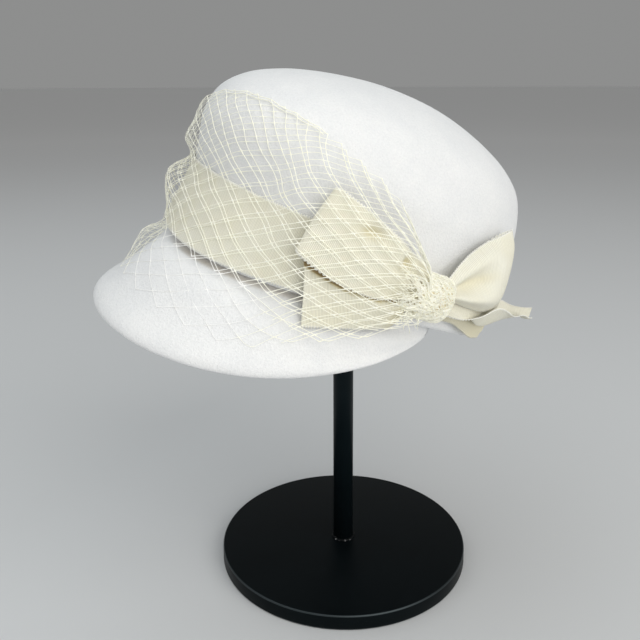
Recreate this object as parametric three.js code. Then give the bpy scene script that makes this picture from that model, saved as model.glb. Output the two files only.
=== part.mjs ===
// Wool felt peaked cap with a ribbon band, a ribbon bow and a net veil, on a plain display stand.
// Millimetres, +Z up. The origin is the middle of the stand base's underside, on the pole's axis.
// The cap faces -Y, and its bow is on the wearer's left, +X.
import * as THREE from "three";
import { ParametricGeometry } from "three/addons/geometries/ParametricGeometry.js";
import { mergeVertices } from "three/addons/utils/BufferGeometryUtils.js";

// ---- driving dimensions ----

const GAP = 0.3; // between pieces that touch

const BASE_RADIUS = 75;
const BASE_THICK = 8.6;
const BASE_EDGE = 0.8; // rounding of the base's top edge
const POLE_RADIUS = 6.1;
const REST_RADIUS = 36; // plain dome inside the crown that carries the cap
const REST_RISE = 15;
const REST_RIM = 5;
const REST_TOP = 288.9;

const HAT_SEAT = new THREE.Vector3(-6, -5.5, 179); // middle of the crown's edge plane
const TILT_BACK = 20.5; // degrees, the front stands higher
const TILT_LEFT = 13.5; // degrees, the bow's side hangs lower

const FELT = 2.5;
const EDGE_SWAY = 5.5; // the crown's edge dips this much at front and back, and rises at the sides
const EDGE_SWAY_HEIGHT = 60; // height at which that sway has died out

// Outer wall of the crown, a row for each height above its edge plane.
const CROWN_ROWS = [
  { height: 0, half: 88, front: 106, back: 106 },
  { height: 17, half: 87, front: 105, back: 105 },
  { height: 34, half: 86.5, front: 105, back: 103.5 },
  { height: 48, half: 85.5, front: 110, back: 101 },
  { height: 61, half: 85, front: 113.5, back: 99 },
  { height: 75, half: 81, front: 111, back: 95.5 },
  { height: 87, half: 75, front: 99.5, back: 88.5 },
  { height: 97, half: 63.5, front: 80.5, back: 76 },
  { height: 104, half: 49.5, front: 60, back: 61 },
  { height: 109, half: 35, front: 40, back: 44 },
  { height: 112, half: 21.5, front: 23, back: 25 },
  { height: 113.5, half: 0, front: 0, back: 0 },
];

const PEAK_DEPTH = 53; // root to edge, at the front
const PEAK_HALF_ANGLE = 87.5; // degrees from the front to each end
const PEAK_TAPER = 0.71; // power of the cosine that narrows the peak towards its ends
const PEAK_DROP = 62.5; // degrees below the edge plane, at the front
const PEAK_DROP_GAIN = 30; // degrees steeper towards the ends
const PEAK_THICK = 3;
const PEAK_EDGE_THICK = 5.2; // the rolled edge
const PEAK_ROOT = 8; // height of the strip sewn inside the crown
const PEAK_END = 4; // least length, at the peak's ends
const PEAK_END_THICK = 1.4;
const ROLL_START = 0.82; // share of the rib at which the rolled edge begins to swell
const ROLL_FULL = 0.93;

const BAND_WIDTH = 33.5;
const BAND_THICK = 1;
const BAND_LOW_FRONT = 1; // height of the band's lower edge above the crown's edge
const BAND_LOW_BACK = 6;

const RIBBON = 1; // thickness of the bow's ribbon
const BOW_ANGLE = 77; // degrees from the front to the bow's knot
const BOW_HEIGHT = 22;
const KNOT_HALF_LENGTH = 10;
const KNOT_HALF_HEIGHT = 13.5;
const KNOT_DEPTH = 14;
const KNOT_FOOT = 2.1; // height of the knot's underside over the crown's wall

const NET = 1.2; // thickness of the veil's outer form
const NET_HEM = 2.8; // most that its upper edge stands off the crown

const WHITE_FELT = { color: 0xf0f0f2, roughness: 0.95, metalness: 0 };
const CREAM_RIBBON = { color: 0xece6cf, roughness: 0.75, metalness: 0 };
const CREAM_NET = { color: 0xf1ebd8, roughness: 0.8, metalness: 0 };
const BLACK_STEEL = { color: 0x121415, roughness: 0.45, metalness: 0.2 };

// ---- small helpers ----

const rad = THREE.MathUtils.degToRad;
const { clamp, lerp, smoothstep } = THREE.MathUtils;

// Merges shared corners and drops triangles that have no area.
function closed(geometry) {
  geometry.deleteAttribute("normal");
  geometry.deleteAttribute("uv");
  const merged = mergeVertices(geometry, 1e-4);
  const index = merged.index.array;
  const kept = [];
  for (let i = 0; i < index.length; i += 3) {
    const [a, b, c] = [index[i], index[i + 1], index[i + 2]];
    if (a !== b && b !== c && c !== a) kept.push(a, b, c);
  }
  merged.setIndex(kept);
  merged.computeVertexNormals();
  return merged;
}

// Unit normal of the surface point(s, w); "fallback" serves where the surface closes to a pole.
function normalAt(point, s, w, wraps, fallback) {
  const step = 1e-3;
  const ahead = wraps ? s + step : Math.min(s + step, 1);
  const behind = wraps ? s - step : Math.max(s - step, 0);
  const along = point(ahead, w).sub(point(behind, w));
  const across = point(s, Math.min(w + step, 1)).sub(point(s, Math.max(w - step, 0)));
  const normal = along.cross(across);
  return normal.length() < 1e-9 ? fallback.clone() : normal.normalize();
}

// A thin closed solid about a middle surface: point(s, w) with s along and w across,
// half(s, w) half its wall. With wraps, s runs all the way round and joins itself.
function sheet({ point, half, along, across, wraps = false, fallback = new THREE.Vector3(0, 0, 1) }) {
  const sides = 2 * (across + 1);
  const rows = wraps ? along : along + 2;
  const surface = (u, v, target) => {
    const row = Math.round(u * rows);
    const side = Math.round(v * sides) % sides;
    const s = wraps ? (row % along) / along : clamp(row - 1, 0, along) / along;
    const outer = side <= across;
    const w = (outer ? side : sides - 1 - side) / across;
    const atEnd = !wraps && (row === 0 || row === rows);
    const shift = atEnd ? 0 : (outer ? 1 : -1) * half(s, w);
    target.copy(point(s, w)).addScaledVector(normalAt(point, s, w, wraps, fallback), shift);
  };
  return closed(new ParametricGeometry(surface, rows, sides));
}

function named(name, geometry, finish) {
  const mesh = new THREE.Mesh(geometry, new THREE.MeshStandardMaterial(finish));
  mesh.name = name;
  return mesh;
}

// A smooth curve through one column of corners.
const through = (corners) => new THREE.CatmullRomCurve3(corners);

// ---- crown ----

function meridian(angle) {
  const side = Math.sin(angle);
  const front = Math.cos(angle);
  return through(CROWN_ROWS.map((row) => {
    const reach = front >= 0 ? row.front : row.back;
    const fade = clamp(1 - row.height / EDGE_SWAY_HEIGHT, 0, 1) ** 2;
    const sway = -EDGE_SWAY * Math.cos(2 * angle) * fade;
    return new THREE.Vector3(row.half * side, -reach * front, row.height + sway);
  }));
}

// Share of a meridian's rows at which it passes a height.
function shareAt(height) {
  const last = CROWN_ROWS.length - 1;
  let i = 0;
  while (i < last - 1 && CROWN_ROWS[i + 1].height < height) i += 1;
  const [low, high] = [CROWN_ROWS[i], CROWN_ROWS[i + 1]];
  return (i + (height - low.height) / (high.height - low.height)) / last;
}

const meridians = new Map();

function crownPoint(angle, share) {
  const key = angle.toFixed(6);
  if (!meridians.has(key)) meridians.set(key, meridian(angle));
  return meridians.get(key).getPoint(clamp(share, 0, 1));
}

// Level direction away from the crown's wall.
function outward(angle) {
  const { half, front, back } = CROWN_ROWS[0];
  const reach = Math.cos(angle) >= 0 ? front : back;
  return new THREE.Vector3(Math.sin(angle) / half, -Math.cos(angle) / reach, 0).normalize();
}

// A point a given height up the crown's outer wall and "lift" clear of it.
function wall(angle, height, lift) {
  const share = shareAt(height);
  const step = 1e-3;
  const up = crownPoint(angle, share + step).sub(crownPoint(angle, Math.max(share - step, 0)));
  const side = outward(angle).cross(new THREE.Vector3(0, 0, 1)).negate();
  const normal = side.cross(up).normalize();
  return crownPoint(angle, share).addScaledVector(normal, lift);
}

const CROWN_AROUND = 44;
const CROWN_UP = 13;

function crown() {
  const outer = (s, w) => crownPoint(s * 2 * Math.PI, w);
  const inset = FELT / 2;
  const point = (s, w) => {
    const normal = normalAt(outer, s, w, true, new THREE.Vector3(0, 0, 1));
    return outer(s, w).addScaledVector(normal, -inset);
  };
  return sheet({ point, half: () => inset, along: CROWN_AROUND, across: CROWN_UP, wraps: true });
}

// ---- peak ----

function peakLength(angle) {
  const turn = (angle / rad(PEAK_HALF_ANGLE)) * (Math.PI / 2);
  return PEAK_DEPTH * Math.max(Math.cos(turn), 0) ** PEAK_TAPER;
}

// Direction down the peak's slope.
function slope(angle) {
  const drop = rad(PEAK_DROP + PEAK_DROP_GAIN * (1 - Math.cos(angle)));
  return outward(angle).multiplyScalar(Math.cos(drop)).add(new THREE.Vector3(0, 0, -Math.sin(drop)));
}

// A point "down" along the peak's slope from the crown's edge, "lift" above its middle surface.
function overPeak(angle, down, lift) {
  const along = slope(angle);
  const side = outward(angle).cross(new THREE.Vector3(0, 0, 1)).negate();
  const normal = side.cross(along).negate().normalize();
  return crownPoint(angle, 0).addScaledVector(along, down).addScaledVector(normal, lift);
}

const TUCK = FELT + GAP + PEAK_THICK / 2 + 0.5; // how far inside the crown's outer wall the root lies

function peakRib(angle) {
  const inward = outward(angle).multiplyScalar(-TUCK);
  const edge = crownPoint(angle, 0);
  const length = Math.max(peakLength(angle), PEAK_END);
  const tucked = Math.exp(-(length - PEAK_END) / 8); // near its ends the edge stays inside the crown
  const root = edge.clone().addScaledVector(inward, 1.15).add(new THREE.Vector3(0, 0, PEAK_ROOT));
  const turn = edge.clone().add(inward).add(new THREE.Vector3(0, 0, -1.5));
  const rim = overPeak(angle, length, 0).addScaledVector(inward, tucked);
  const flat = overPeak(angle, Math.min(10, length * 0.6), 0).addScaledVector(inward, tucked);
  flat.z -= 1.5 * tucked;
  return through([root, turn, flat, flat.clone().lerp(rim, 0.5), rim]);
}

function peak() {
  const half = rad(PEAK_HALF_ANGLE);
  const ribs = new Map();
  const point = (s, w) => {
    const angle = lerp(-half, half, s);
    const key = angle.toFixed(6);
    if (!ribs.has(key)) ribs.set(key, peakRib(angle));
    return ribs.get(key).getPoint(w);
  };
  const thickness = (s, w) => {
    const full = smoothstep(Math.min(s, 1 - s), 0, 0.12);
    const roll = full * smoothstep(w, ROLL_START, ROLL_FULL);
    const body = lerp(PEAK_END_THICK, lerp(PEAK_THICK, PEAK_EDGE_THICK, roll), full) / 2;
    const round = clamp((w - ROLL_FULL) / (1 - ROLL_FULL), 0, 1);
    return body * Math.sqrt(Math.max(1 - round ** 2, 0.04));
  };
  return sheet({ point, half: thickness, along: 32, across: 13 });
}

// ---- ribbon band ----

const bandLow = (angle) => lerp(BAND_LOW_FRONT, BAND_LOW_BACK, (1 - Math.cos(angle)) / 2);

function ribbonBand() {
  const lift = GAP + 0.7 + BAND_THICK / 2;
  const point = (s, w) => {
    const angle = s * 2 * Math.PI;
    return wall(angle, bandLow(angle) + w * BAND_WIDTH, lift);
  };
  return sheet({ point, half: () => BAND_THICK / 2, along: CROWN_AROUND, across: 3, wraps: true });
}

// ---- bow: in its own frame, x to the cap's back, y up, z away from the crown ----

const corner = (x, y, z) => new THREE.Vector3(x, y, z);

// A strip of ribbon whose rails run along it side by side.
function strip(rails, along, across) {
  const curves = rails.map(through);
  const point = (s, w) => through(curves.map((curve) => curve.getPoint(s))).getPoint(w);
  return sheet({ point, half: () => RIBBON / 2, along, across });
}

// A loop: out along its face, round the fold at its end and back along its underside.
// Each row has the reach and height of both ribbon edges, how far the ribbon's middle runs
// past them, and the levels of face and underside.
function loop(rows, direction, along, across) {
  const rail = (row, edge, level) => {
    const [reach, height] = [
      [row.lowReach, row.low],
      [(row.lowReach + row.highReach) / 2 + row.arch, (row.low + row.high) / 2],
      [row.highReach, row.high],
    ][edge];
    return corner(direction * reach, height, level);
  };
  const last = rows[rows.length - 1];
  const rails = [0, 1, 2].map((edge) => {
    const out = rows.map((row) => rail(row, edge, row.face));
    const fold = rail(last, edge, (last.face + last.under) / 2);
    fold.x += direction * (last.face - last.under) * 0.4;
    const home = rows.map((row) => rail(row, edge, row.under)).reverse();
    return [...out, fold, ...home];
  });
  return strip(direction > 0 ? rails : rails.reverse(), along, across);
}

// Front upper loop.
const UPPER_LOOP = [
  { lowReach: 10.5, low: -4, highReach: 10.5, high: 11, arch: 0, face: 11.2, under: 7.2 },
  { lowReach: 21, low: -7, highReach: 21, high: 14, arch: 0, face: 10.4, under: 5 },
  { lowReach: 31, low: -10.2, highReach: 31, high: 16, arch: 0, face: 8.2, under: 2.4 },
  { lowReach: 42, low: -10.6, highReach: 42, high: 19, arch: 0.5, face: 4.6, under: -1.6 },
  { lowReach: 54, low: -9.4, highReach: 53, high: 24, arch: 1, face: -0.6, under: -7 },
  { lowReach: 65, low: -7, highReach: 63, high: 28.5, arch: 2, face: -7, under: -12 },
];

// Rear loop, which stands straight back, clear of the crown.
const REAR_LOOP = [
  { lowReach: 10.6, low: 1.5, highReach: 10.6, high: 11, arch: 0, face: 12, under: 8 },
  { lowReach: 19, low: 1.2, highReach: 14, high: 26, arch: 1, face: 12, under: 6 },
  { lowReach: 29, low: 1, highReach: 19, high: 33, arch: 3, face: 11.5, under: 4.5 },
  { lowReach: 38, low: 2.6, highReach: 25, high: 39, arch: 5, face: 10.5, under: 4 },
  { lowReach: 45, low: 7.5, highReach: 30.5, high: 42, arch: 7, face: 9, under: 5 },
];

// Front tail, which lies below the upper loop and over the peak's root.
const FRONT_TAIL = [
  { lowReach: 10.5, low: -10.5, highReach: 10.5, high: -5.5, lowLevel: 5.5, highLevel: 5 },
  { lowReach: 14, low: -21, highReach: 17, high: -3, lowLevel: 6.4, highLevel: 2.6 },
  { lowReach: 22, low: -25, highReach: 29, high: -1, lowLevel: 5.6, highLevel: 0.2 },
  { lowReach: 31, low: -28.5, highReach: 41, high: -0.5, lowLevel: 3.4, highLevel: -4.2 },
  { lowReach: 42, low: -32, highReach: 53, high: -1, lowLevel: 0.8, highLevel: -9.4 },
  { lowReach: 53, low: -35.5, highReach: 63, high: -3, lowLevel: -3.2, highLevel: -14.2 },
];

// Rear tail, a trough that leaves the knot upright and turns flat towards its cut end.
const REAR_TAIL = [
  { near: [10.5, -7, 8], middle: [10.5, -5.5, 6], far: [10.5, -4, 4.5] },
  { near: [21, -7.2, 8], middle: [22, -8.6, 5], far: [23, -3.5, 2] },
  { near: [30, -5, 8], middle: [31, -8.2, 3.5], far: [33, -1.5, 0] },
  { near: [38.5, -1.6, 8], middle: [40, -7.2, 2], far: [44, 0, -3] },
  { near: [46.6, 2.2, 8], middle: [50, -4.6, 0], far: [55, 2.5, -7] },
  { near: [55, 2.8, 8], middle: [60, 0, -1], far: [66, 4, -10] },
  { near: [64.4, 4.6, 8], middle: [70, 2.6, -2], far: [78, 5, -12] },
  { near: [73.5, 6.8, 7.5], middle: [80, 5, -3], far: [88, 6, -13] },
];

// Under loop, a short flap below the rear tail.
const UNDER_LOOP = [
  { low: [18, -11.6, 3.5], high: [18, -9.7, 4] },
  { low: [28, -12, 2], high: [29, -9.3, 2.6] },
  { low: [36, -14, 0.5], high: [38, -8.8, 1.4] },
  { low: [44, -16.3, -1], high: [46, -8, 0] },
  { low: [49, -16.4, -2], high: [52, -8, -1] },
];

// The knot is a short oval barrel across the ribbon.
const KNOT_PROFILE = [
  { along: -1, girth: 0 },
  { along: -1, girth: 0.8 },
  { along: -0.6, girth: 0.96 },
  { along: 0, girth: 1 },
  { along: 0.6, girth: 0.96 },
  { along: 1, girth: 0.8 },
  { along: 1, girth: 0 },
];

function knot() {
  const profile = KNOT_PROFILE.map((p) => new THREE.Vector2(p.girth, p.along * KNOT_HALF_LENGTH));
  const geometry = new THREE.LatheGeometry(profile, 20);
  geometry.rotateZ(-Math.PI / 2);
  geometry.scale(1, KNOT_HALF_HEIGHT, KNOT_DEPTH / 2);
  geometry.translate(0, 1, KNOT_FOOT + KNOT_DEPTH / 2);
  return closed(geometry);
}

function frontTail() {
  const low = FRONT_TAIL.map((row) => corner(-row.lowReach, row.low, row.lowLevel));
  const high = FRONT_TAIL.map((row) => corner(-row.highReach, row.high, row.highLevel));
  return strip([high, low], 14, 4);
}

const bow = new THREE.Group();
bow.add(named("bow_upper_loop", loop(UPPER_LOOP, -1, 22, 4), CREAM_RIBBON));
bow.add(named("bow_front_tail", frontTail(), CREAM_RIBBON));
bow.add(named("bow_rear_loop", loop(REAR_LOOP, 1, 20, 4), CREAM_RIBBON));
const trough = ["near", "middle", "far"].map((edge) => REAR_TAIL.map((row) => corner(...row[edge])));
bow.add(named("bow_rear_tail", strip(trough, 16, 6), CREAM_RIBBON));
const flap = ["low", "high"].map((edge) => UNDER_LOOP.map((row) => corner(...row[edge])));
bow.add(named("bow_under_loop", strip(flap, 8, 3), CREAM_RIBBON));
bow.add(named("bow_knot", knot(), CREAM_NET));

const bowOut = outward(rad(BOW_ANGLE));
const bowUp = new THREE.Vector3(0, 0, 1);
const bowBack = bowUp.clone().cross(bowOut);
bow.position.copy(wall(rad(BOW_ANGLE), BOW_HEIGHT, 0));
bow.quaternion.setFromRotationMatrix(new THREE.Matrix4().makeBasis(bowBack, bowUp, bowOut));

// ---- veil ----

// The outer form of the doubled net, a row for each direction round the crown: how far it comes
// down the peak, how high it goes up the crown, and how far it stands off over the peak, the
// peak's root, the band, the band's upper edge, and twice on the crown above.
const VEIL = [
  { angle: -66, down: 4, up: 26, lifts: [2, 3, 3.2, 3, 3, 3] },
  { angle: -56, down: 26, up: 42, lifts: [3, 6, 6, 3.8, 3.4, 3.2] },
  { angle: -42, down: 33, up: 52, lifts: [3.5, 8, 8.5, 3.8, 4.5, 2.6] },
  { angle: -26, down: 35, up: 62, lifts: [2.4, 7, 8, 3.8, 5, 2.6] },
  { angle: -10, down: 35, up: 72, lifts: [2, 5, 5, 3.7, 3.2, 2] },
  { angle: 8, down: 34, up: 77, lifts: [1.8, 4.5, 3.8, 3.6, 2.2, 2] },
  { angle: 24, down: 32, up: 76.5, lifts: [1.8, 5.5, 4.8, 4, 2.4, 2] },
  { angle: 36, down: 28, up: 73, lifts: [2, 9, 13.4, 13.8, 13.4, 7] },
  { angle: 46, down: 23, up: 66.5, lifts: [4, 12, 15.6, 15.4, 14.2, 7] },
  { angle: 56, down: 20, up: 60, lifts: [5.5, 13, 15.6, 15, 14, 8] },
  { angle: 64, down: 15, up: 52, lifts: [7, 13, 15.4, 15.2, 14.8, 11.5] },
  { angle: 71.5, down: 1, up: 37, lifts: [11, 13, 15, 15.2, 15, 14.4] },
];

function veil() {
  const columns = VEIL.map(({ angle: degrees, down, up, lifts }) => {
    const [onPeak, overRoot, overBand, overEdge, overLoop, overCrown] = lifts;
    const angle = rad(degrees);
    const edge = Math.min(bandLow(angle) + BAND_WIDTH, up * 0.75);
    return [
      overPeak(angle, down, PEAK_THICK / 2 + onPeak),
      overPeak(angle, down * 0.5, PEAK_THICK / 2 + onPeak),
      wall(angle, 4, overRoot),
      wall(angle, Math.min(19, up * 0.5), overBand),
      wall(angle, edge, overEdge),
      wall(angle, lerp(edge, up, 0.35), overLoop),
      wall(angle, lerp(edge, up, 0.7), overCrown),
      wall(angle, up, Math.min(overCrown, NET_HEM)),
    ];
  });
  const rails = columns[0].map((_, i) => through(columns.map((rib) => rib[i])));
  const point = (s, w) => through(rails.map((rail) => rail.getPoint(s))).getPoint(w);
  return sheet({ point, half: () => NET / 2, along: 26, across: 14 });
}

// ---- cap ----

const hat = new THREE.Group();
hat.add(named("crown", crown(), WHITE_FELT));
hat.add(named("peak", peak(), WHITE_FELT));
hat.add(named("ribbon_band", ribbonBand(), CREAM_RIBBON));
hat.add(named("veil", veil(), CREAM_NET));
hat.add(bow);
hat.rotation.set(-rad(TILT_BACK), rad(TILT_LEFT), 0);
hat.position.copy(HAT_SEAT);

// ---- stand ----

function turned(profile, segments) {
  return closed(new THREE.LatheGeometry(profile.map(([radius, z]) => new THREE.Vector2(radius, z)), segments)
    .rotateX(Math.PI / 2));
}

const base = turned([
  [0, 0],
  [BASE_RADIUS - BASE_EDGE, 0],
  [BASE_RADIUS, BASE_EDGE],
  [BASE_RADIUS, BASE_THICK - BASE_EDGE],
  [BASE_RADIUS - BASE_EDGE, BASE_THICK],
  [0, BASE_THICK],
], 72);

const poleFoot = BASE_THICK + GAP;
const restFoot = REST_TOP - REST_RISE - REST_RIM;
const pole = turned([
  [0, poleFoot],
  [POLE_RADIUS, poleFoot],
  [POLE_RADIUS, restFoot - GAP],
  [0, restFoot - GAP],
], 28);

const domeSteps = 6;
const dome = Array.from({ length: domeSteps + 1 }, (_, i) => {
  const turn = (i / domeSteps) * (Math.PI / 2);
  return [REST_RADIUS * Math.cos(turn), restFoot + REST_RIM + REST_RISE * Math.sin(turn)];
});
const rest = turned([[0, restFoot], [REST_RADIUS - 2, restFoot], [REST_RADIUS, restFoot + 2], ...dome], 36);

const cap = new THREE.Group();
cap.add(named("stand_base", base, BLACK_STEEL));
cap.add(named("stand_pole", pole, BLACK_STEEL));
cap.add(named("stand_rest", rest, BLACK_STEEL));
cap.add(hat);

export default cap;
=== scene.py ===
# Wool felt peaked cap with a ribbon band, a side bow and a net veil, on a black display stand.
# Metres, +Z up: the cap faces -Y, and its bow is on the wearer's left, +X.
import math

import bmesh
import bpy
import numpy as np
from mathutils import Matrix, Vector, noise


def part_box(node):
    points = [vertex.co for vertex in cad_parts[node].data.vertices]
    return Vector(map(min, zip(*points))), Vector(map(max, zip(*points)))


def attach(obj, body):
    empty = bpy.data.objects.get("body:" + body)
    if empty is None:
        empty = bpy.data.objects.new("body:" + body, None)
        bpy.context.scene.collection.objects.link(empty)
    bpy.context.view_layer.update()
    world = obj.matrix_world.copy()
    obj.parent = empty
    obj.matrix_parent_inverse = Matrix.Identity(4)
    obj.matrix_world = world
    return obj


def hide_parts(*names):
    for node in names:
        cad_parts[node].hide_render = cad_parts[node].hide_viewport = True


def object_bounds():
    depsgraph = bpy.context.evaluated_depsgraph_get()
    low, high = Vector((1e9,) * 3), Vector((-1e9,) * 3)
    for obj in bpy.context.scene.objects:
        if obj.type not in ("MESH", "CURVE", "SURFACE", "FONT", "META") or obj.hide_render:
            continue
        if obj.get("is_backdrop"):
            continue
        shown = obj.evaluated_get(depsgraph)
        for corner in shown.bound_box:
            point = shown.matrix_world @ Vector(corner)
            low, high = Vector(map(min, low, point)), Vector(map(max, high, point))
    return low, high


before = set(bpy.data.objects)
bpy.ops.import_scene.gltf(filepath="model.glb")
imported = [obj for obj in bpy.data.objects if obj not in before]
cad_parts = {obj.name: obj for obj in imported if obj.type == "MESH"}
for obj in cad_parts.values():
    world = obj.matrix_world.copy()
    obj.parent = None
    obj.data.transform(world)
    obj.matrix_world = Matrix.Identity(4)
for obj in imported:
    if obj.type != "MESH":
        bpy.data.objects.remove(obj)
cad_low, cad_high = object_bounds()

# ---- Stand base ----
# A round plate of steel with softened edges, powder coated satin black and rubbed glossy on its
# rims. It lies on the table and its weight keeps the cap from tipping.

BASE_ROUNDING = 0.0009
BASE_SIDES = 160
COAT_DARK = Vector((0.0014, 0.0026, 0.0032))
COAT_LIGHT = Vector((0.0022, 0.0038, 0.0046))
COAT_GLOSS = 0.08
RIM_GLOSS = 0.7
RIM_SLOPES = (0.05, 0.95)  # upward lean of the faces that make up a rounded rim
base_low, base_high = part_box("stand_base")


def finished(bm, name, material, cad_node):
    """The bmesh as a smooth-shaded piece of the cap that stands for a CAD node."""
    for face in bm.faces:
        face.smooth = True
    mesh = bpy.data.meshes.new(name)
    bm.to_mesh(mesh)
    bm.free()
    mesh.materials.append(material)
    piece = bpy.data.objects.new(name, mesh)
    bpy.context.scene.collection.objects.link(piece)
    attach(piece, "root")
    if cad_node:
        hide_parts(cad_node)
    return piece


def new_material(name, finish):
    """A node material, its node tree and its Principled shader, set to the values in finish."""
    material = bpy.data.materials.new(name)
    material.use_nodes = True
    shader = material.node_tree.nodes["Principled BSDF"]
    for socket, value in finish.items():
        shader.inputs[socket].default_value = value
    return material, material.node_tree, shader


def add(tree, kind, inputs=(), **settings):
    """A new node; inputs maps a socket's name or number to a value or to another node's output."""
    node = tree.nodes.new(kind)
    for name, value in settings.items():
        setattr(node, name, value)
    for socket, value in dict(inputs).items():
        if isinstance(value, bpy.types.NodeSocket):
            tree.links.new(value, node.inputs[socket])
        else:
            node.inputs[socket].default_value = value
    return node


def ramp(tree, factor, *stops):
    """A colour ramp on a factor; each stop is a position and a colour."""
    node = add(tree, "ShaderNodeValToRGB", {"Fac": factor})
    elements = node.color_ramp.elements
    while len(elements) < len(stops):
        elements.new(0.5)
    for element, (position, colour) in zip(elements, stops):
        element.position = position
        element.color = (*colour, 1)
    return node.outputs["Color"]


def powder_coat(name, tone, gloss):
    """Satin black with a fine orange peel; tone lightens or darkens it, and the pole's higher tone is painted
    light.
    """
    finish = {"Specular IOR Level": gloss, "Specular Tint": (0.8, 0.95, 1, 1)}
    material, tree, shader = new_material(name, finish)
    place = add(tree, "ShaderNodeTexCoord").outputs["Object"]
    peel = add(tree, "ShaderNodeTexNoise", {"Vector": place, "Scale": 2600, "Detail": 2})
    cloud = add(tree, "ShaderNodeTexNoise", {"Vector": place, "Scale": 34, "Detail": 4})
    black = ramp(tree, cloud.outputs["Fac"], (0.3, COAT_DARK * tone), (0.7, COAT_LIGHT * tone))
    worn = add(tree, "ShaderNodeMapRange", {"Value": cloud.outputs["Fac"], "To Min": 0.34, "To Max": 0.46})
    bump = add(tree, "ShaderNodeBump", {"Height": peel.outputs["Fac"], "Strength": 0.25, "Distance": 0.0001})
    tree.links.new(black, shader.inputs["Base Color"])
    tree.links.new(worn.outputs["Result"], shader.inputs["Roughness"])
    tree.links.new(bump.outputs["Normal"], shader.inputs["Normal"])
    return material


black_coat = powder_coat("satin_black_powder_coat", 1, COAT_GLOSS)
bm = bmesh.new()
bmesh.ops.create_cone(
    bm, cap_ends=True, segments=BASE_SIDES, radius1=base_high.x, radius2=base_high.x,
    depth=base_high.z - base_low.z,
)
bmesh.ops.translate(bm, verts=bm.verts, vec=(0, 0, (base_low.z + base_high.z) / 2))
rims = [edge for edge in bm.edges if abs(edge.verts[0].co.z - edge.verts[1].co.z) < 1e-6]
bmesh.ops.bevel(
    bm, geom=rims, offset=BASE_ROUNDING, affect="EDGES", segments=5, profile=0.5, material=-1,
)
bm.normal_update()
for face in bm.faces:
    face.material_index = 1 if RIM_SLOPES[0] < abs(face.normal.z) < RIM_SLOPES[1] else 0
base = finished(bm, "turned_base", black_coat, "stand_base")
base.data.materials.append(powder_coat("rubbed_black_rim_coat", 1, RIM_GLOSS))

# ---- Pole ----
# A plain steel tube with the base's coat, painted lighter for the light it catches, standing on
# the base and held by a run of weld, whose coat is chipped in a few places.

# Painted light: the tube's coat is lightened this many times over the base's.
TUBE_TONE_PAINTED_LIGHT = 2.4
WELD_RADIUS = 0.0011
WELD_LUMPS = 0.45  # of the weld's radius
pole_low, pole_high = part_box("stand_pole")
pole_radius = pole_high.x

bm = bmesh.new()
bmesh.ops.create_cone(
    bm, cap_ends=True, segments=64, radius1=pole_radius, radius2=pole_radius,
    depth=pole_high.z - pole_low.z,
)
bmesh.ops.translate(bm, verts=bm.verts, vec=(0, 0, (pole_low.z + pole_high.z) / 2))
pole = finished(bm, "pole_tube", powder_coat("satin_black_tube_coat_painted_lighter", TUBE_TONE_PAINTED_LIGHT, COAT_GLOSS), "stand_pole")


def chipped_coat():
    finish = {"Roughness": 0.5, "Specular IOR Level": 0.1}
    material, tree, shader = new_material("chipped_weld_coat", finish)
    place = add(tree, "ShaderNodeTexCoord").outputs["Object"]
    spots = add(tree, "ShaderNodeTexNoise", {"Vector": place, "Scale": 330, "Detail": 3})
    coat = ramp(tree, spots.outputs["Fac"], (0.57, (0.003, 0.004, 0.0045)), (0.66, (0.2, 0.195, 0.2)))
    tree.links.new(coat, shader.inputs["Base Color"])
    return material


bm = bmesh.new()
bmesh.ops.create_circle(bm, segments=10, radius=WELD_RADIUS)
bmesh.ops.rotate(bm, verts=bm.verts, matrix=Matrix.Rotation(math.pi / 2, 3, "X"))
bmesh.ops.translate(bm, verts=bm.verts, vec=(pole_radius, 0, base_high.z))
bmesh.ops.spin(
    bm, geom=bm.verts[:] + bm.edges[:], cent=(0, 0, 0), axis=(0, 0, 1), angle=2 * math.pi, steps=90,
    use_merge=True,
)
for vert in bm.verts:
    lump = WELD_LUMPS * WELD_RADIUS * noise.noise(vert.co * 700)
    away = vert.co - Vector((*vert.co.xy.normalized() * pole_radius, base_high.z))
    vert.co += away.normalized() * lump
bmesh.ops.recalc_face_normals(bm, faces=bm.faces)
weld = finished(bm, "pole_weld", chipped_coat(), None)

# ---- Rest ----
# A plain moulded dome on the pole's end, matt black, that carries the crown from inside and
# doesn't show while the cap is on.

REST_RIM = 0.005  # straight rim below the dome
REST_CORNER = 0.001
rest_low, rest_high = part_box("stand_rest")


def moulded_black():
    material, tree, shader = new_material("matt_black_moulding", {"Roughness": 0.7})
    place = add(tree, "ShaderNodeTexCoord").outputs["Object"]
    grain = add(tree, "ShaderNodeTexNoise", {"Vector": place, "Scale": 1800, "Detail": 2})
    black = ramp(tree, grain.outputs["Fac"], (0.3, (0.012, 0.012, 0.013)), (0.7, (0.02, 0.02, 0.021)))
    bump = add(tree, "ShaderNodeBump", {"Height": grain.outputs["Fac"], "Strength": 0.3, "Distance": 0.0002})
    tree.links.new(black, shader.inputs["Base Color"])
    tree.links.new(bump.outputs["Normal"], shader.inputs["Normal"])
    return material


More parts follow.
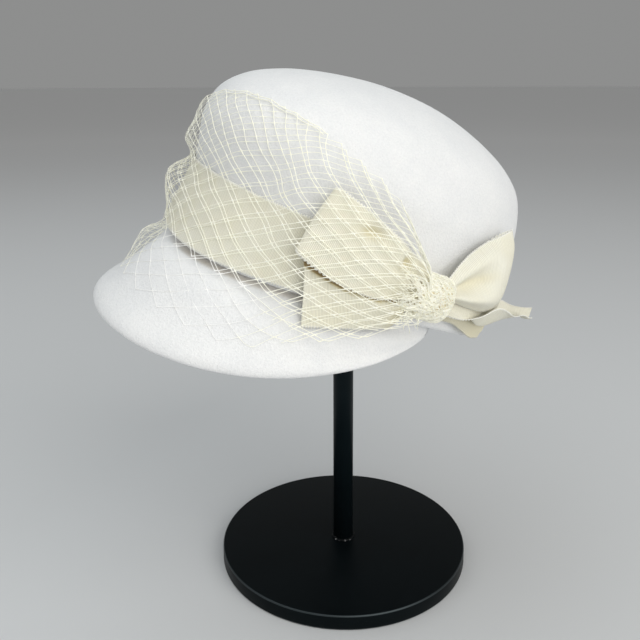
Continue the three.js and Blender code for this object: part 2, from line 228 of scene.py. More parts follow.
bm = bmesh.new()
rest_radius = rest_high.x
dome_foot = rest_low.z + REST_RIM
turns = [math.radians(6 * i) for i in range(16)]
arc = [(rest_radius * math.cos(t), dome_foot + (rest_high.z - dome_foot) * math.sin(t)) for t in turns]
corner = [(rest_radius - REST_CORNER, rest_low.z), (rest_radius, rest_low.z + REST_CORNER)]
profile = [(0, rest_low.z), *corner, *arc]
line = [bm.verts.new((radius, 0, height)) for radius, height in profile]
for low, high in zip(line, line[1:]):
    bm.edges.new((low, high))
bmesh.ops.spin(
    bm, geom=bm.verts[:] + bm.edges[:], cent=(0, 0, 0), axis=(0, 0, 1), angle=2 * math.pi, steps=72,
    use_merge=True,
)
bmesh.ops.remove_doubles(bm, verts=bm.verts, dist=1e-6)
bmesh.ops.recalc_face_normals(bm, faces=bm.faces)
rest = finished(bm, "moulded_rest", moulded_black(), "stand_rest")

# ---- Crown ----
# The body of the cap: one piece of thick white wool felt, steamed and blocked over a wooden
# form, so it has no seam. Its edge is cut clean and its surface is softly fibrous.

# The cap's own frame, in millimetres: Z up from the crown's edge plane, -Y to the front.
CAP_SEAT = Vector((-6, -5.5, 179))
CAP = (
    Matrix.Scale(0.001, 4)
    @ Matrix.Translation(CAP_SEAT)
    @ Matrix.Rotation(math.radians(-20.5), 4, "X")
    @ Matrix.Rotation(math.radians(13.5), 4, "Y")
)
FELT = 2.5
EDGE_SWAY = 5.5  # the edge dips at front and back and rises at the sides
EDGE_SWAY_HEIGHT = 60
UNEVEN = 0.35  # how far hand blocking leaves the wall off its form
# Colour of the painted shade in the crease where the peak meets the crown.
PAINTED_SHADE_BROWN = (0.36, 0.28, 0.17, 1)
# Height above the edge plane, half width, reach to the front and to the back.
CROWN_ROWS = [
    (0, 88, 106, 106),
    (17, 87, 105, 105),
    (34, 86.5, 105, 103.5),
    (48, 85.5, 110, 101),
    (61, 85, 113.5, 99),
    (75, 81, 111, 95.5),
    (87, 75, 99.5, 88.5),
    (97, 63.5, 80.5, 76),
    (104, 49.5, 60, 61),
    (109, 35, 40, 44),
    (112, 21.5, 23, 25),
    (113.5, 0, 0, 0),
]


def curve(points, share):
    """A point on the smooth curve through the points, with its spans spaced as the points are."""
    last = len(points) - 1
    span = min(int(share * last), last - 1)
    t = share * last - span
    b, c = points[span], points[span + 1]
    a = points[span - 1] if span else 2 * b - c
    d = points[span + 2] if span + 2 <= last else 2 * c - b
    ab, bc, cd = [max(math.sqrt((q - p).length), 1e-4) for p, q in ((a, b), (b, c), (c, d))]
    start = ((b - a) / ab - (c - a) / (ab + bc) + (c - b) / bc) * bc
    end = ((c - b) / bc - (d - b) / (bc + cd) + (d - c) / cd) * bc
    return b + start * t + (3 * (c - b) - 2 * start - end) * t * t + (2 * (b - c) + start + end) * t**3


meridians = {}


def crown_point(angle, share):
    """A point on the crown's outer wall; angle 0 is the front and 90 degrees the bow's side."""
    key = round(angle, 6)
    if key not in meridians:
        side, ahead = math.sin(angle), math.cos(angle)
        column = []
        for height, half, front, back in CROWN_ROWS:
            fade = max(1 - height / EDGE_SWAY_HEIGHT, 0) ** 2
            sway = -EDGE_SWAY * math.cos(2 * angle) * fade
            column.append(Vector((half * side, -(front if ahead >= 0 else back) * ahead, height + sway)))
        meridians[key] = column
    return curve(meridians[key], share)


def laid_out(point, along, across, closed=False):
    """A grid of cloth laid out by point(s, w), with a UV map in millimetres: along, then across."""
    bm = bmesh.new()
    bmesh.ops.create_grid(bm, x_segments=along, y_segments=across, size=1)
    uv = bm.loops.layers.uv.new("cloth")
    where = {v: (round((v.co.x + 1) / 2 * along), round((v.co.y + 1) / 2 * across)) for v in bm.verts}
    place = {key: point(key[0] / along, key[1] / across) for key in where.values()}
    row = [np.mean([(place[i, j] - place[i - 1, j]).length for j in range(0, across + 1, 4)])
           for i in range(1, along + 1)]
    column = [np.mean([(place[i, j] - place[i, j - 1]).length for i in range(0, along + 1, 4)])
              for j in range(1, across + 1)]
    u, v = np.concatenate([[0], np.cumsum(row)]), np.concatenate([[0], np.cumsum(column)])
    for face in bm.faces:
        for loop in face.loops:
            i, j = where[loop.vert]
            loop[uv].uv = (u[i], v[j])
    for vert, key in where.items():
        vert.co = place[key]
    if closed:
        bmesh.ops.remove_doubles(bm, verts=bm.verts, dist=1e-4)
    return bm


def thickened(piece, thickness, offset):
    """Gives a single-sided piece its thickness in metres; offset -1 puts it all on the inside."""
    wall = piece.modifiers.new("thickness", "SOLIDIFY")
    wall.thickness = thickness
    wall.offset = offset
    wall.use_even_offset = False
    return piece


def mixed(tree, first, second, factor=1, blend="MIX"):
    """Two colours mixed by a factor, or multiplied; each is a colour or another node's output."""
    inputs = {"Factor": factor, "A": first, "B": second}
    return add(tree, "ShaderNodeMix", inputs, data_type="RGBA", blend_type=blend).outputs["Result"]


def wool_felt():
    finish = {
        "Roughness": 0.95, "Sheen Weight": 0.25, "Sheen Roughness": 0.6, "Sheen Tint": (0.9, 0.95, 1, 1),
    }
    material, tree, shader = new_material("white_wool_felt", finish)
    place = add(tree, "ShaderNodeTexCoord").outputs["Object"]
    fibre = add(
        tree, "ShaderNodeTexNoise",
        {"Vector": place, "Scale": 1300, "Detail": 5, "Roughness": 0.7, "Distortion": 0.8},
    )
    tuft = add(tree, "ShaderNodeTexNoise", {"Vector": place, "Scale": 1000, "Detail": 4, "Distortion": 0.4})
    cloud = add(tree, "ShaderNodeTexNoise", {"Vector": place, "Scale": 60, "Detail": 5, "Roughness": 0.6})
    white = ramp(tree, tuft.outputs["Fac"], (0.3, (0.808, 0.808, 0.806)), (0.64, (0.87, 0.868, 0.86)))
    tone = ramp(tree, cloud.outputs["Fac"], (0.34, (0.955, 0.96, 0.968)), (0.66, (1, 1, 1)))
    fine = add(tree, "ShaderNodeBump", {"Height": fibre.outputs["Fac"], "Strength": 0.6, "Distance": 0.0004})
    soft = add(tree, "ShaderNodeBump", {"Height": tuft.outputs["Fac"], "Strength": 0.5, "Distance": 0.0007})
    tree.links.new(fine.outputs["Normal"], soft.inputs["Normal"])
    # Painted shade in the crease at the peak's root, set on the peak's points.
    painted_crease_shade = add(tree, "ShaderNodeAttribute", attribute_name="painted_crease_shade").outputs["Fac"]
    colour = mixed(tree, mixed(tree, white, tone, blend="MULTIPLY"), PAINTED_SHADE_BROWN, painted_crease_shade)
    tree.links.new(colour, shader.inputs["Base Color"])
    tree.links.new(soft.outputs["Normal"], shader.inputs["Normal"])
    return material


felt = wool_felt()


def blocked_wall(s, w):
    """Round the crown and up it, a little uneven outwards as hand blocking leaves it."""
    spot = crown_point(2 * math.pi * s, w)
    _, half, reach, _ = CROWN_ROWS[1]
    return spot + UNEVEN * noise.noise(spot / 38) * Vector((spot.x / half, spot.y / reach, 0.4))


bm = laid_out(blocked_wall, 200, 72, closed=True)
bmesh.ops.recalc_face_normals(bm, faces=bm.faces)
bmesh.ops.transform(bm, matrix=CAP, verts=bm.verts)
crown = thickened(finished(bm, "felt_crown", felt, "crown"), FELT * 0.001, -1)

# ---- Peak ----
# A crescent of the same felt, blocked to shape. Its outer edge is rolled over thick and its root
# is a strip sewn inside the crown's edge, which leaves a crease along the join, darkened with
# painted shade.

PEAK_DEPTH = 53
PEAK_HALF_ANGLE = math.radians(89)
PEAK_TAPER = 0.71
PEAK_DROP = 62.5  # degrees below the edge plane at the front, and steeper towards the ends
PEAK_DROP_GAIN = 30
PEAK_THICK = 3
PEAK_EDGE_THICK = 5.4
PEAK_ROOT_THICK = 1.4
PEAK_END = 4  # depth of the strip to which the peak runs out at its ends
PEAK_END_FADE = 8
PEAK_SLUMP = 7.5  # how far the far side falls in just below the crown
SLUMP_TURN = (0.1, 0.62)  # radians round to the far side over which the slump sets in
SLUMP_START = (0, 7)  # distances down the peak over which it sets in, and over which it eases
SLUMP_EASES = (14, 52)
SLUMP_EASE = 0.68
PEAK_UNEVEN = 0.45
PEAK_ROOT = 8
PEAK_DIP = 1.5  # how far below the crown's edge the peak bends out of its sewn root
PEAK_SHOULDER = 10  # how far down it lies flat on its slope
ROLL_START = 0.8  # shares of the way out at which the rolled edge begins to swell, and rounds off
ROLL_ROUND = 0.935
ROLL_PART = 0.75  # share of the section's points that lie before the rounding
TUCK = FELT + 2.3  # how far inside the crown's outer wall the root lies
CREASE_REACH = (2.4, 4.3)  # the painted shade is dark this near to the crown's edge, and gone this far off
CREASE_START = (-0.35, 0.1)  # directions round the crown, in radians, in which it comes and goes
CREASE_END = (1.1, 1.35)
PAINTED_CREASE_STRENGTH = 0.8


def outward(angle):
    """Level direction away from the crown's wall."""
    _, half, front, back = CROWN_ROWS[0]
    reach = front if math.cos(angle) >= 0 else back
    return Vector((math.sin(angle) / half, -math.cos(angle) / reach, 0)).normalized()


def eased(value, low, high):
    t = min(max((value - low) / (high - low), 0), 1)
    return t * t * (3 - 2 * t)


def over_peak(angle, down, lift):
    """A point down along the peak's slope from the crown's edge, lift above its middle surface."""
    slump = eased(-angle, *SLUMP_TURN) * eased(down, *SLUMP_START)
    lift -= PEAK_SLUMP * slump * (1 - SLUMP_EASE * eased(down, *SLUMP_EASES))
    drop = math.radians(PEAK_DROP + PEAK_DROP_GAIN * (1 - math.cos(angle)))
    away = outward(angle)
    along = away * math.cos(drop) - Vector((0, 0, math.sin(drop)))
    normal = away.cross(Vector((0, 0, 1))).cross(along).normalized()
    return crown_point(angle, 0) + down * along + lift * normal


ribs = {}


def peak_middle(angle, share):
    """A point on the peak's middle surface, from its sewn root out to its rim."""
    key = round(angle, 6)
    if key not in ribs:
        inward = -TUCK * outward(angle)
        edge = crown_point(angle, 0)
        turn = max(math.cos(angle / PEAK_HALF_ANGLE * math.pi / 2), 0)
        length = math.hypot(PEAK_DEPTH * turn**PEAK_TAPER, PEAK_END)
        tucked = math.exp(-(length - PEAK_END) / PEAK_END_FADE)
        shoulder = min(PEAK_SHOULDER, 0.6 * length)
        dip = Vector((0, 0, PEAK_DIP))
        root = edge + 1.15 * inward + Vector((0, 0, PEAK_ROOT))
        flat = over_peak(angle, shoulder, 0) + tucked * inward - tucked * dip
        half = over_peak(angle, (shoulder + length) / 2, 0) + tucked * inward
        rim = over_peak(angle, length, 0) + tucked * inward
        ribs[key] = [root, edge + inward - dip, flat, half, rim]
    return curve(ribs[key], share)


def peak_surface(s, v):
    """Round the peak's section: out over its top, round the rolled rim and back underneath."""
    angle = (2 * s - 1) * PEAK_HALF_ANGLE
    side = 1 if v <= 0.5 else -1
    t = 2 * v if v <= 0.5 else 2 - 2 * v
    full = eased(min(s, 1 - s), 0, 0.12)
    if t < ROLL_PART:
        share = t / ROLL_PART * ROLL_ROUND
        round_off = 1
    else:
        turn = (t - ROLL_PART) / (1 - ROLL_PART) * math.pi / 2
        share = ROLL_ROUND + (1 - ROLL_ROUND) * math.sin(turn)
        round_off = math.cos(turn)
    roll = full * eased(share, ROLL_START, ROLL_ROUND)
    body = PEAK_THICK - PEAK_ROOT_THICK + roll * (PEAK_EDGE_THICK - PEAK_THICK)
    body = PEAK_ROOT_THICK + full * body
    closing = min(1, min(s, 1 - s) / 0.004) * min(1, t / 0.01)
    step = 1e-3
    along = peak_middle(angle + step, share) - peak_middle(angle - step, share)
    across = peak_middle(angle, min(share + step, 1)) - peak_middle(angle, max(share - step, 0))
    normal = across.cross(along).normalized()
    spot = peak_middle(angle, share)
    uneven = PEAK_UNEVEN * noise.noise(spot / 26) * eased(share, 0.3, 0.7)
    return spot + (side * 0.5 * body * round_off * closing + uneven) * normal


bm = laid_out(peak_surface, 150, 96)
bmesh.ops.remove_doubles(bm, verts=bm.verts, dist=1e-4)
bmesh.ops.recalc_face_normals(bm, faces=bm.faces)
# Painted shade along the crease where the peak comes out from under the crown's edge.
painted_crease_shade = bm.verts.layers.float.new("painted_crease_shade")
for vert in bm.verts:
    angle = math.atan2(vert.co.x / CROWN_ROWS[0][1], -vert.co.y / CROWN_ROWS[0][2])
    near = 1 - eased((vert.co - crown_point(angle, 0)).length, *CREASE_REACH)
    vert[painted_crease_shade] = PAINTED_CREASE_STRENGTH * near * eased(angle, *CREASE_START) * (1 - eased(angle, *CREASE_END))
bmesh.ops.transform(bm, matrix=CAP, verts=bm.verts)
peak = finished(bm, "felt_peak", felt, "peak")

# ---- Ribbon band ----
# One length of cream ribbon wound round the crown's foot and joined under the bow. It is a fine
# cross-ribbed weave with a row of small picot loops down each selvedge.

BAND_WIDTH = 33.5
BAND_LOW_FRONT = 1  # height of the band's lower edge above the crown's edge
BAND_LOW_BACK = 6
BAND_LIFT = 1.0
BAND_EASE = 0.35
BAND_TIED = math.radians(81)  # where the bow draws the band in
BAND_TIED_SPREAD = 0.3
BAND_TIED_UP = 6
BAND_TIED_IN = 15
RIBBON_THICK = 0.45
RIB_PITCH = 0.87
PICOT_PITCH = 1.3
PICOT_REACH = 0.95
PICOT_CREAM = (1, 0.99, 0.92, 1)
SELVEDGE = (0, 0.012, 0.035)  # shares of the width at which a selvedge's threads lie


def share_at(height):
    """Share of the way up the crown's rows at which it passes a height."""
    last = len(CROWN_ROWS) - 1
    i = 0
    while i < last - 1 and CROWN_ROWS[i + 1][0] < height:
        i += 1
    low, high = CROWN_ROWS[i][0], CROWN_ROWS[i + 1][0]
    return (i + (height - low) / (high - low)) / last


def wall(angle, height, lift):
    """A point a given height up the crown's outer wall and lift clear of it."""
    share = share_at(height)
    step = 1e-3
    up = crown_point(angle, share + step) - crown_point(angle, max(share - step, 0))
    side = Vector((0, 0, 1)).cross(outward(angle))
    return crown_point(angle, share) + lift * side.cross(up).normalized()


def woven(point, length, rows, closed=False):
    """A strip of ribbon laid out by point(s, w), about length mm long, with picots on both edges."""
    along = round(length / PICOT_PITCH) * 4
    across = rows + 4
    body = [SELVEDGE[-1] + (1 - 2 * SELVEDGE[-1]) * j / rows for j in range(1, rows)]
    inner = [*SELVEDGE, *body, *(1 - share for share in reversed(SELVEDGE))]
    places = {}

    def spot(s, w):
        i, j = round(s * along), round(w * across)
        if (i, j) not in places:
            places[i, j] = point(i / along, inner[j])
        base = places[i, j]
        if j in (0, across):
            neighbour = point(i / along, inner[1 if j == 0 else -2])
            base = base + (base - neighbour).normalized() * PICOT_REACH * (-0.1, 0.75, 1, 0.75)[i % 4]
        return base

    bm = laid_out(spot, along, across, closed)
    selvedge = bm.verts.layers.float.new("selvedge")
    edge = {key for key in places if key[1] in (0, across)}
    tips = {tuple(round(c, 3) for c in spot(i / along, j / across)) for i, j in edge}
    for vert in bm.verts:
        vert[selvedge] = 1.0 if tuple(round(c, 3) for c in vert.co) in tips else 0.0
    return bm


def ribbed_ribbon():
    finish = {"Roughness": 0.62, "Sheen Weight": 0.15}
    material, tree, shader = new_material("cream_ribbed_ribbon", finish)
    cloth = add(tree, "ShaderNodeUVMap", uv_map="cloth").outputs["UV"]
    place = add(tree, "ShaderNodeTexCoord").outputs["Object"]
    axes = add(tree, "ShaderNodeSeparateXYZ", {"Vector": cloth})
    per_turn = 2 * math.pi / RIB_PITCH
    turns = add(tree, "ShaderNodeMath", {0: axes.outputs["X"], 1: per_turn}, operation="MULTIPLY")
    rib = add(tree, "ShaderNodeMath", {0: turns.outputs[0]}, operation="SINE")
    stretched = add(tree, "ShaderNodeMapping", {"Vector": cloth, "Scale": (1.3, 0.12, 1)})
    slub = add(tree, "ShaderNodeTexNoise", {"Vector": stretched.outputs[0], "Scale": 1, "Detail": 3})
    cloud = add(tree, "ShaderNodeTexNoise", {"Vector": place, "Scale": 60, "Detail": 2})
    # The ribs darken the colour in their grooves, partly the weave's own pattern and partly painted shade.
    weave_and_groove_shade = add(tree, "ShaderNodeMapRange", {"Value": rib.outputs[0], "From Min": -1, "To Min": 0.76})
    body = ramp(tree, cloud.outputs["Fac"], (0.3, (0.98, 0.946, 0.785)), (0.7, (1, 0.98, 0.85)))
    threads = ramp(tree, slub.outputs["Fac"], (0.3, (0.96, 0.955, 0.93)), (0.7, (1, 1, 1)))
    plain = mixed(tree, body, threads, blend="MULTIPLY")
    ribbed = mixed(tree, plain, weave_and_groove_shade.outputs["Result"], blend="MULTIPLY")
    picot = add(tree, "ShaderNodeAttribute", attribute_name="selvedge").outputs["Fac"]
    edged = mixed(tree, ribbed, PICOT_CREAM, picot)
    # Painted shade, set on the bow's points, darkens the ribbon towards olive and brown.
    painted_ribbon_shade = add(tree, "ShaderNodeAttribute", attribute_name="painted_ribbon_shade").outputs["Fac"]
    depth = ramp(tree, painted_ribbon_shade, (0.6, (0.7, 0.6, 0.3)), (1, (0.4, 0.29, 0.13)))
    bump = add(tree, "ShaderNodeBump", {"Height": rib.outputs[0], "Strength": 0.45, "Distance": 0.0003})
    tree.links.new(mixed(tree, edged, depth, painted_ribbon_shade), shader.inputs["Base Color"])
    tree.links.new(bump.outputs["Normal"], shader.inputs["Normal"])
    return material


def band_low(angle):
    return BAND_LOW_FRONT + (BAND_LOW_BACK - BAND_LOW_FRONT) * (1 - math.cos(angle)) / 2


def band_surface(s, w):
    angle = 2 * math.pi * s
    ease = BAND_EASE * noise.noise(Vector((3 * math.sin(angle), 3 * math.cos(angle), 2 * w)))
    tied = math.exp(-(((angle - BAND_TIED) / BAND_TIED_SPREAD) ** 2))
    height = band_low(angle) + BAND_TIED_UP * tied + w * (BAND_WIDTH - BAND_TIED_IN * tied)
    return wall(angle, height, BAND_LIFT + ease)


ribbon = ribbed_ribbon()
bm = woven(band_surface, 600, 10, closed=True)
bmesh.ops.transform(bm, matrix=CAP, verts=bm.verts)
bmesh.ops.recalc_face_normals(bm, faces=bm.faces)
band = thickened(finished(bm, "ribbon_wound_band", ribbon, "ribbon_band"), RIBBON_THICK * 0.001, 0)

# ---- Bow, upper front loop ----
# The bow is tied from ribbon of the same weave. This loop runs forward from the knot, folds back
# on itself at its end and spreads from a pinched, pleated root, with painted shade there and in its hollows.

# The bow's own frame, in millimetres: x to the cap's back, y up, z out from the crown.
BOW_ANGLE = math.radians(77)
BOW_HEIGHT = 22
KNOT_REACH = 10  # half the knot's length, where the ribbons come out of it
bow_out = outward(BOW_ANGLE)
bow_back = Vector((0, 0, 1)).cross(bow_out)
turned = Matrix((bow_back, (0, 0, 1), bow_out)).transposed().to_4x4()
BOW_ON_CAP = Matrix.Translation(wall(BOW_ANGLE, BOW_HEIGHT, 0)) @ turned
BOW = CAP @ BOW_ON_CAP
TO_BOW = BOW.inverted()


def strip(rails, pleats=None):
    """The surface of a strip whose rails run along it side by side, with pleats added to it."""
    rails = [[Vector(point) for point in rail] for rail in rails]
    cuts = {}

    def point(s, w):
        key = round(s, 6)
        if key not in cuts:
            cuts[key] = [curve(rail, s) for rail in rails]
        spot = curve(cuts[key], w)
        return spot + pleats(spot, s, w) if pleats else spot

    return point


def bow_ribbon(name, surface, length, rows, node):
    bm = woven(surface, length, rows)
    bmesh.ops.transform(bm, matrix=BOW, verts=bm.verts)
    piece = thickened(finished(bm, name, ribbon, node), RIBBON_THICK * 0.001, 0)
    return piece


def shaded(piece, shade):
    """Gives each point of a piece of the bow its painted shade, 0 to 1, from its place in the bow."""
    values = piece.data.attributes.new("painted_ribbon_shade", "FLOAT", "POINT").data
    for vert, value in zip(piece.data.vertices, values):
        value.value = shade(TO_BOW @ vert.co)


def folded_loop(rows, direction, rise, drop):
    """Rails out along a loop's face, round the fold at its end and back along its underside,
    which is narrower: its lower edge lies rise higher and its upper edge drop lower."""
    rails = []
    for edge in range(3):
        def rail(row, level):
            low_reach, low, high_reach, high, arch, *_ = row
            reach = (low_reach, (low_reach + high_reach) / 2 + arch, high_reach)[edge]
            height = (low, (low + high) / 2, high)[edge]
            return Vector((direction * reach, height, level))
        last = rows[-1]
        fold = rail(last, (last[5] + last[6]) / 2) + Vector((direction * 0.4 * (last[5] - last[6]), 0, 0))
        inset = (rise, (rise - drop) / 2, -drop)[edge]
        home = [rail(row, row[6]) + Vector((0, inset * min(1, 0.35 + k / 2), 0))
                for k, row in enumerate(reversed(rows))]
        rails.append([rail(row, row[5]) for row in rows] + [fold + Vector((0, 0.2 * inset, 0))] + home)
    return rails


HOLLOW_SHADE = 0.6
ROOT_SHADE = 0.45
# Reach and height of the lower and the upper edge, how far the middle runs past them, and the
# levels of face and underside.
UPPER_LOOP = [
    (10.5, -4, 10.5, 11, 0, 11.2, 7.2),
    (21, -7, 21, 14.6, 0, 10.4, 5),
    (31, -10.2, 31, 19.2, 0, 8.2, 2.4),
    (42, -10.6, 42, 23, 0.5, 4.6, -1.6),
    (55, -9.2, 54, 27, 0.8, -0.6, -6),
    (69.4, -4.8, 63.6, 29.4, 1, -7.4, -10.6),
]


def hollows(reach, height):
    """The two soft hollows in the loop's face, by its pleated root and below its upper edge."""
    by_root = 0.9 * math.exp(-(((reach - 23.5) / 2.4) ** 2) - ((height - 10.4) / 3) ** 2)
    below_edge = math.exp(-(((reach - 44) / 5) ** 2) - ((height - 17.2) / 2.7) ** 2)
    return by_root + below_edge


def upper_pleats(spot, s, w):
    reach = -spot.x
    face = 1 if s < 0.47 else -0.3
    pinch = math.exp(-max(reach - KNOT_REACH, 0) / 13)
    wave = 1.5 * pinch * math.cos(2 * math.pi * (2.4 * w + 0.1)) + 0.9 * (1 - pinch) * math.sin(math.pi * w)
    return Vector((0, 0, face * (wave - 4 * hollows(reach, spot.y))))


# Painted shade in the loop's two hollows and at its root.
def loop_shade(spot):
    root = ROOT_SHADE * math.exp(-max(-spot.x - KNOT_REACH, 0) / 5)
    return min(HOLLOW_SHADE * hollows(-spot.x, spot.y) + root, HOLLOW_SHADE)


loop_surface = strip(folded_loop(UPPER_LOOP, -1, 6.5, 3), upper_pleats)
loop = bow_ribbon("ribbon_upper_loop", loop_surface, 128, 22, "bow_upper_loop")
shaded(loop, loop_shade)

# ---- Bow, front tail ----
# The ribbon's front end, which comes out of the knot below the loop, fans down over the peak's
# root and shows its picots along the bottom. Painted shade draws a thin slit across it under the
# loop's lower edge and darkens its root.

SLIT_EDGE = (0.2, 0.65)  # the painted shade of the slit is dark this near to the loop's edge, and gone this far off
TAIL_ROOT_SHADE = 0.5
TAIL_ROOT = (10, 24)
FRONT_TAIL_LOW = [(-10.5, -11, 5.5), (-14, -21, 6.4), (-22, -25, 5.6), (-32, -28.5, 3.4), (-44, -32, 0.8),
                  (-55, -36, -3.2)]
FRONT_TAIL_MIDDLE = [(-10.5, -8.6, 9), (-17, -11, 10.8), (-26, -13.6, 8.6), (-38, -14.2, 4), (-51, -13, -2.6),
                     (-63, -10.5, -8.6)]
FRONT_TAIL_HIGH = [(-10.5, -6.5, 5), (-17, -4, 2.6), (-29, -1.5, 0.2), (-41, -0.5, -4.4), (-54, -1, -9.6),
                   (-66, -2, -14.2)]


def tail_pleats(spot, s, w):
    pinch = math.exp(-max(-spot.x - KNOT_REACH, 0) / 14)
    return Vector((0, 0, 2 * pinch * math.sin(2 * math.pi * (1.9 * w + 0.1)) * (1 - 0.8 * w)))


tail_surface = strip([FRONT_TAIL_LOW, FRONT_TAIL_MIDDLE, FRONT_TAIL_HIGH], tail_pleats)
tail = bow_ribbon("ribbon_front_tail", tail_surface, 58, 20, "bow_front_tail")
loop_edge = [curve([Vector((-row[0], row[1], row[5])) for row in UPPER_LOOP], k / 80) for k in range(81)]
tail_spots = [TO_BOW @ vert.co for vert in tail.data.vertices]
nearest = [min((spot - point).length for spot in tail_spots) for point in loop_edge]


# Painted shade: the slit under the loop's edge, and the tail's root.
def tail_shade(spot):
    beyond = min((spot - point).length - near for point, near in zip(loop_edge, nearest))
    return max(1 - eased(beyond, *SLIT_EDGE), TAIL_ROOT_SHADE * (1 - eased(-spot.x, *TAIL_ROOT)))


shaded(tail, tail_shade)

# ---- Bow, rear loop ----
# A short loop that stands straight back from the knot, open like a shell, with one deep crease
# running into it from the knot, darkened with painted shade.

CREASE_SHADE = 0.3
CREASE_FOOT = Vector((8.4, 4.2))  # where the crease leaves the knot
CREASE_SIDE = Vector((0.525, -0.851))  # direction square to the crease
CREASE_WIDTH = 2.4
# Sections from the lower edge to the upper: out along the face, then back along the underside.
REAR_LOOP = [
    ((9.6, 0.3, 10), (9, 2.4, 12.5), (8.4, 4.2, 10.5), (6.5, 6.4, 11.8), (4.8, 8.6, 10)),
    ((18, -0.1, 10), (17.4, 3.8, 15), (15.4, 8.2, 7.6), (13.1, 13.6, 11), (11, 17.4, 6.5)),
    ((26, -0.4, 9.8), (26.4, 6, 16), (23.8, 13.6, 7.4), (20.8, 21.3, 9.8), (18.2, 24.8, 3)),
    ((34, 0, 9.6), (34.6, 8, 14.8), (30.8, 18, 10.6), (28.1, 28.1, 8.2), (26.7, 32.2, 0.5)),
    ((41, 1.9, 8.4), (40.4, 9.6, 12.2), (37, 20, 11.6), (37.7, 30.6, 6.6), (37.2, 39, -1.5)),
    ((50, 5, 3.2), (49, 14, 3.2), (45.8, 26.5, 4), (45.4, 36.5, 0.5), (43.8, 43.3, -3.5)),
    ((48.6, 6, 1), (47.6, 14.5, 0.8), (44, 27, 1.6), (42.8, 34.9, -1.6), (40.1, 39.4, -5.5)),
    ((36, 3, 2.5), (35, 10, 2.5), (30, 19, 3.5), (25, 24.7, 1), (22.9, 25.5, -0.5)),
    ((17, 2, 5), (15, 5, 5.5), (13, 8, 5.5), (11, 11, 6), (10.5, 12, 7)),
    ((9.6, 2, 7), (9, 3.5, 7.5), (8, 5, 8), (7, 6, 8), (6, 6.5, 8)),
]


# Painted shade along the crease.
def crease_shade(spot):
    beside = CREASE_SIDE.dot(spot.xy - CREASE_FOOT)
    run = eased(spot.x, 9, 20) * (1 - eased(spot.x, 26, 38))
    return CREASE_SHADE * math.exp(-((beside / CREASE_WIDTH) ** 2)) * run


rear = bow_ribbon("ribbon_rear_loop", strip(list(zip(*REAR_LOOP))), 86, 26, "bow_rear_loop")
shaded(rear, crease_shade)

# ---- Bow, rear tail ----
# The ribbon's other end, which leaves the knot as a trough and turns flat and wavy towards its
# cut end.

REAR_TAIL = [
    ((10.5, -7.5, 9), (10.5, -4.4, 9.6), (10.5, -1.5, 8)),
    ((20.3, -7.3, 10), (20.6, -4.6, 9.6), (21.4, 0.2, 7.4)),
    ((29.4, -5.4, 10.8), (30.4, -5.8, 9), (32, 1.8, 6.8)),
    ((35.6, -2.4, 11), (38, -8.2, 6.8), (41, 3, 5.2)),
    ((41.4, 1.8, 10.4), (44.4, -8.4, 4.6), (48.5, 4.6, 1.6)),
    ((47, 3.9, 9.2), (50.5, -6.6, 2.8), (56, 5.6, -3.5)),
    ((52.9, 3.7, 8.4), (57, -3.4, 1.6), (63.5, 5.8, -7)),
    ((60.2, 2.4, 8), (64.5, 0, 0.5), (71.5, 5, -8.6)),
    ((66.4, 4.6, 7.8), (71, 2, -1), (78.5, 5.3, -8.8)),
    ((71.6, 4.2, 7.4), (77.5, 2, -1), (85, 6.4, -8.6)),
    ((75.6, 4.6, 6), (81.5, 2.6, -1), (88, 7.6, -7.4)),
]
rear_tail = bow_ribbon("ribbon_rear_tail", strip(list(zip(*REAR_TAIL))), 76, 18, "bow_rear_tail")

# ---- Bow, under loop ----
# A short flap of the same ribbon that hangs below the rear tail, rounded where it folds, with
# painted shade all over it for the shade of the rest of the bow.

UNDER_SHADE = 0.35
UNDER_LOOP = [
    ((18, -11.6, 3.5), (18, -9.7, 4), (18.5, -7.5, 1.8)),
    ((28, -12, 2), (29, -9.3, 2.6), (29.5, -6.2, -0.3)),
    ((36, -14, 0.5), (38, -8.8, 1.4), (38.5, -5.2, -2.2)),
    ((46, -16.8, -1), (46, -8, 0), (46.5, -4.4, -4.6)),
    ((52, -15.8, -2), (52, -8, -1), (52.5, -4.2, -6.4)),
]
flap = bow_ribbon("ribbon_under_loop", strip(list(zip(*UNDER_LOOP))), 35, 8, "bow_under_loop")
shaded(flap, lambda spot: UNDER_SHADE)

# ---- Bow, knot ----
# The gathered net and a turn of ribbon are bound together into a short oval barrel, and the net's
# crinkled threads cover it.

KNOT_LENGTH = 2 * KNOT_REACH
KNOT_HEIGHT = 22.5
KNOT_MIDDLE = -1.6  # below the middle of the bow
KNOT_DEPTH = 14
KNOT_FOOT = 2.1
KNOT_THREADS = 300
KNOT_THREAD = 0.00014
THREADS_TURN = 0.95  # how far along the barrel the threads run before they turn back
CUT_ENDS = 30
NET_PAINTED_PALE = (0.99, 0.985, 0.97, 1)
THREAD_PAINTED_GLOW = 0.045  # painted light: a faint glow standing in for light that soaks through thin thread
NET_FINISH_AND_PAINTED_GLOW = {
    "Sheen Weight": 0.5, "Emission Color": (1, 0.97, 0.8, 1), "Emission Strength": THREAD_PAINTED_GLOW,
}


def knot_point(turn, along, swell=1.0):
    """A point on the knot's barrel: turn runs round it from the crown's side, along is -1 to 1."""
    girth = (1 - 0.2 * along**4) * swell
    return Vector((along * KNOT_LENGTH / 2, KNOT_MIDDLE + girth * KNOT_HEIGHT / 2 * math.sin(turn),
                   KNOT_FOOT + KNOT_DEPTH / 2 + girth * KNOT_DEPTH / 2 * math.cos(turn)))


